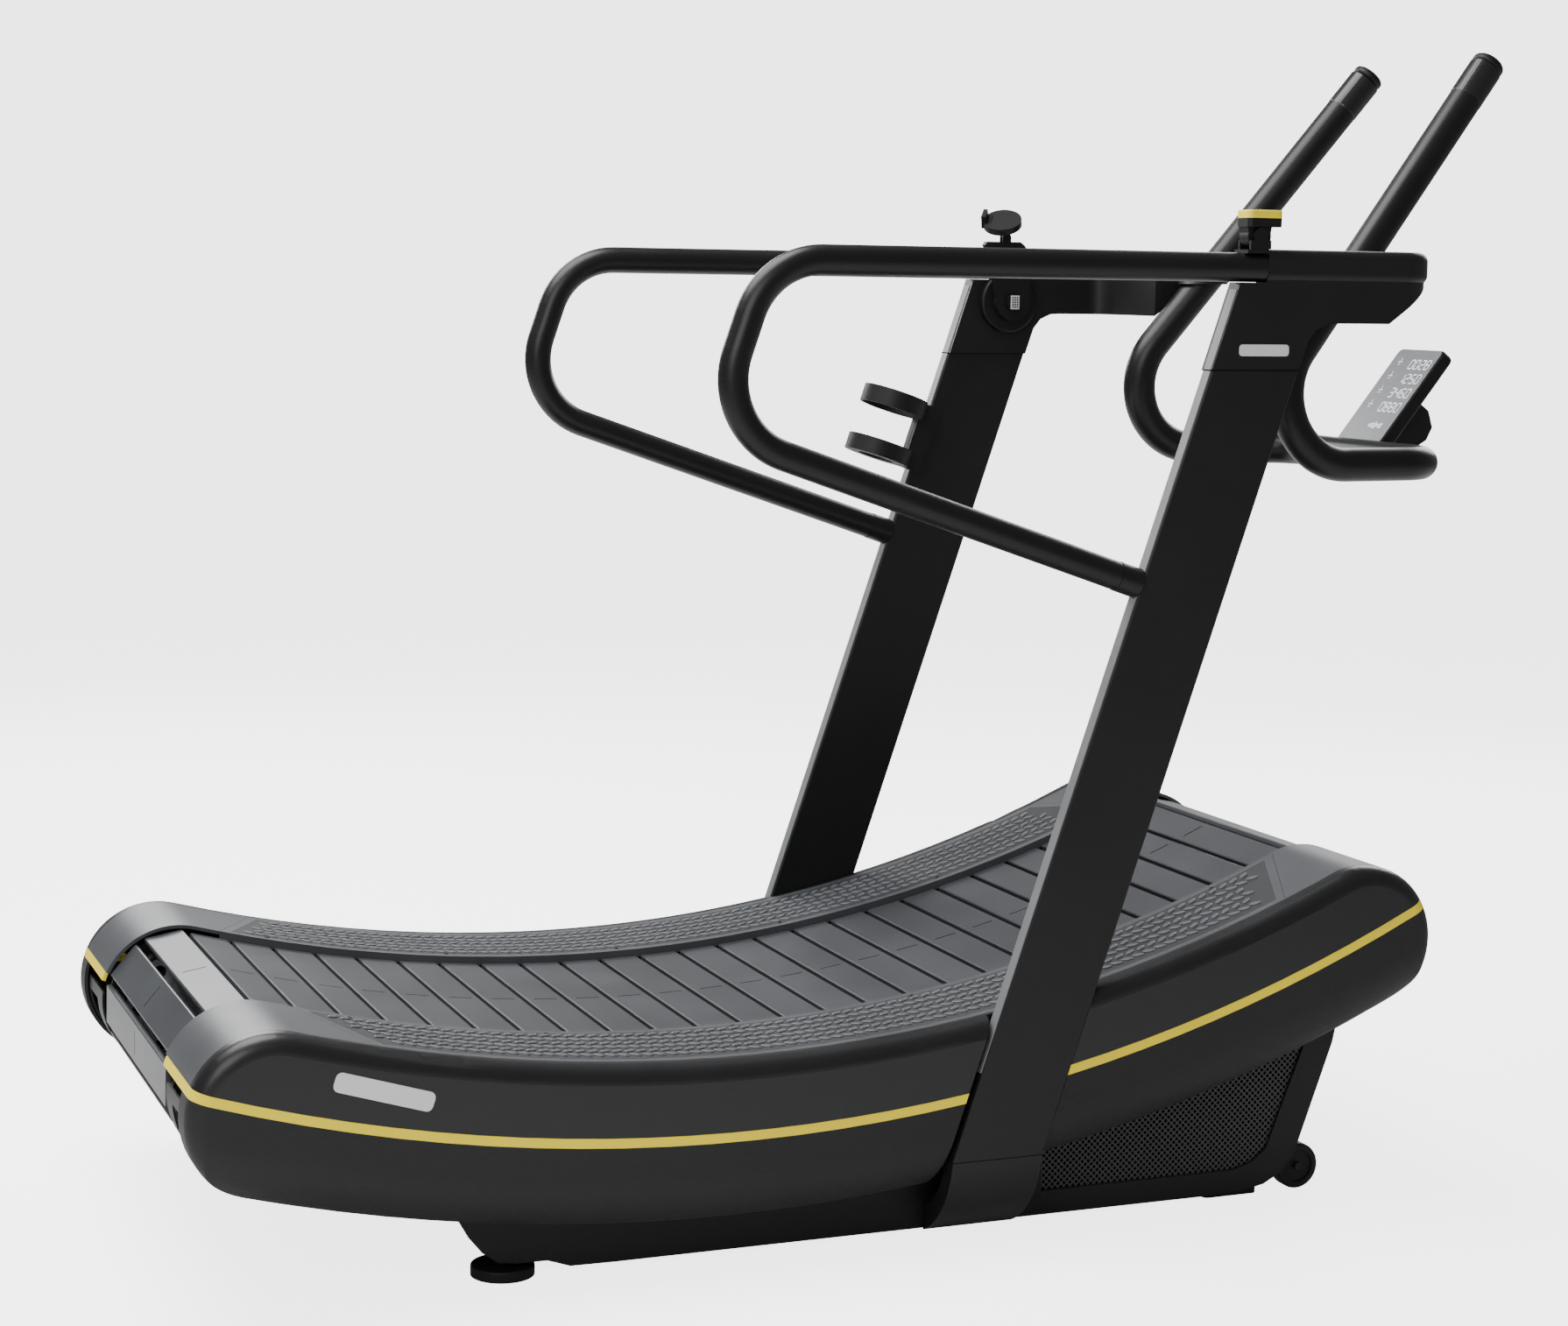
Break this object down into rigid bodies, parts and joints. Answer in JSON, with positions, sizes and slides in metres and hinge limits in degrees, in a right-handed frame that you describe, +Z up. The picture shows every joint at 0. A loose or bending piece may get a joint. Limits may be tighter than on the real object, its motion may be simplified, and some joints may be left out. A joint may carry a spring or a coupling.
{
  "type": "curved manual treadmill",
  "caption": "Curved slat-belt manual treadmill with leaning uprights, looped handrails, bent push bar, tilted display, phone clamp and bottle cage.",
  "frame": {"origin": "on the floor under the centre of the bounding box", "axes": "+X forward towards the push bar, +Y to the runner's left, +Z up"},
  "size_m": [2.047, 0.8935, 1.6725],
  "materials": {
    "slat_rubber": "satin ribbed rubber over alloy",
    "band_rubber": "matt",
    "cover_satin": "satin black",
    "cover_textured": "fine leather-like texture",
    "stripe_yellow": "satin yellow",
    "rail_grey": "satin grey",
    "tread_grey": "raised grip pattern",
    "frame_paint": "satin black powder coat",
    "upright_paint": "satin dark grey powder coat",
    "tube_paint": "satin black powder coat",
    "zinc": "zinc plated",
    "cast": "machined rim",
    "alloy": "cast and turned",
    "display_grey": "silver grey",
    "window": "silver printed window",
    "black_plastic": "fine texture",
    "foot_rubber": "matt",
    "wheel_rubber": "matt"
  },
  "bodies": {
    "frame": {"accent_stripes": "stripe_yellow", "base_panels": "frame_paint", "belt_bands": "band_rubber", "belt_slats": "slat_rubber", "bottle_cage": "black_plastic", "console_arm_left": "upright_paint", "console_arm_right": "upright_paint", "cross_beams": "frame_paint", "deck_tubes": "frame_paint", "display_bracket": "black_plastic", "display_housing": "display_grey", "display_window": "window", "drive_belt": "band_rubber", "floor_rails": "frame_paint", "flywheel_mounts": "frame_paint", "foot_locknuts": "zinc", "foot_rail_left": "rail_grey", "foot_rail_right": "rail_grey", "front_end_caps": "rail_grey", "front_hood": "cover_satin", "front_pads": "foot_rubber", "grilles": "frame_paint", "guide_bearings": "zinc", "guide_rails": "frame_paint", "handrail_left": "tube_paint", "handrail_right": "tube_paint", "handrail_sleeves": "tube_paint", "lever_base": "black_plastic", "phone_base": "black_plastic", "push_bar": "tube_paint", "push_bar_caps": "black_plastic", "rear_end_caps": "rail_grey", "rear_recess_liners": "black_plastic", "roller_bearings": "cast", "side_cover_lower_left": "cover_textured", "side_cover_lower_right": "cover_textured", "side_cover_upper_left": "cover_satin", "side_cover_upper_right": "cover_satin", "side_plates": "frame_paint", "tread_inserts": "tread_grey", "upright_boots": "upright_paint", "upright_brackets": "frame_paint", "upright_left": "upright_paint", "upright_right": "upright_paint", "wheel_brackets": "frame_paint"},
    "front_roller": {"front_roller": "alloy", "drive_pulley": "alloy"},
    "rear_roller": {"rear_roller": "alloy"},
    "flywheel": {"flywheel": "cast"},
    "magnet_carriage": {"magnet_carriage": "zinc"},
    "resistance_lever": {"resistance_lever": "black_plastic", "lever_cap": "stripe_yellow"},
    "phone_arm": {"phone_arm": "black_plastic"},
    "phone_plate": {"phone_plate": "black_plastic"},
    "phone_tab": {"phone_tab": "black_plastic"},
    "transport_wheel_right": {"transport_wheel_right": "wheel_rubber"},
    "transport_wheel_left": {"transport_wheel_left": "wheel_rubber"},
    "levelling_foot_right": {"levelling_foot_right": "foot_rubber"},
    "levelling_foot_left": {"levelling_foot_left": "foot_rubber"}
  },
  "joints": [
    {"name": "front_roller_spin", "type": "hinge", "parent": "frame", "child": "front_roller", "pos_m": [0.66845, 0, 0.3868], "axis": [0, 1, 0], "continuous": true},
    {"name": "rear_roller_spin", "type": "hinge", "parent": "frame", "child": "rear_roller", "pos_m": [-0.91355, 0, 0.26919], "axis": [0, 1, 0], "continuous": true},
    {"name": "flywheel_spin", "type": "hinge", "parent": "frame", "child": "flywheel", "pos_m": [0.43345, 0.3, 0.196], "axis": [0, 1, 0], "continuous": true},
    {"name": "magnet_carriage_swing", "type": "hinge", "parent": "frame", "child": "magnet_carriage", "pos_m": [0.28345, 0.3, 0.266], "axis": [0, 1, 0], "range_deg": [0, 4.5]},
    {"name": "lever_tilt", "type": "hinge", "parent": "frame", "child": "resistance_lever", "pos_m": [0.44645, -0.426, 1.388], "axis": [0, 1, 0], "range_deg": [0, 30]},
    {"name": "phone_arm_swing", "type": "hinge", "parent": "frame", "child": "phone_arm", "pos_m": [0.47845, 0.391, 1.288], "axis": [0, 1, 0], "range_deg": [-25, 15]},
    {"name": "phone_plate_tilt", "type": "hinge", "parent": "phone_arm", "child": "phone_plate", "pos_m": [0.46445, 0.391, 1.392], "axis": [0, 1, 0], "range_deg": [-20, 25]},
    {"name": "phone_tab_slide", "type": "slide", "parent": "phone_plate", "child": "phone_tab", "axis": [-0.7995, 0.5996, 0.0357], "range_m": [0, 0.012], "stiffness_N_per_m": 150},
    {"name": "right_wheel_spin", "type": "hinge", "parent": "frame", "child": "transport_wheel_right", "pos_m": [0.62645, -0.323, 0.034], "axis": [0, 1, 0], "continuous": true},
    {"name": "left_wheel_spin", "type": "hinge", "parent": "frame", "child": "transport_wheel_left", "pos_m": [0.62645, 0.323, 0.034], "axis": [0, 1, 0], "continuous": true},
    {"name": "right_foot_turn", "type": "hinge", "parent": "frame", "child": "levelling_foot_right", "pos_m": [-0.58455, -0.318, 0.02], "axis": [0, 0, 1], "range_deg": [-180, 180]},
    {"name": "left_foot_turn", "type": "hinge", "parent": "frame", "child": "levelling_foot_left", "pos_m": [-0.58455, 0.318, 0.02], "axis": [0, 0, 1], "range_deg": [-180, 180]}
  ],
  "couplings": [
    {"joint": "rear_roller_spin", "follows": "front_roller_spin", "ratio": 1},
    {"joint": "flywheel_spin", "follows": "front_roller_spin", "ratio": 3},
    {"joint": "magnet_carriage_swing", "follows": "lever_tilt", "ratio": 0.15}
  ]
}
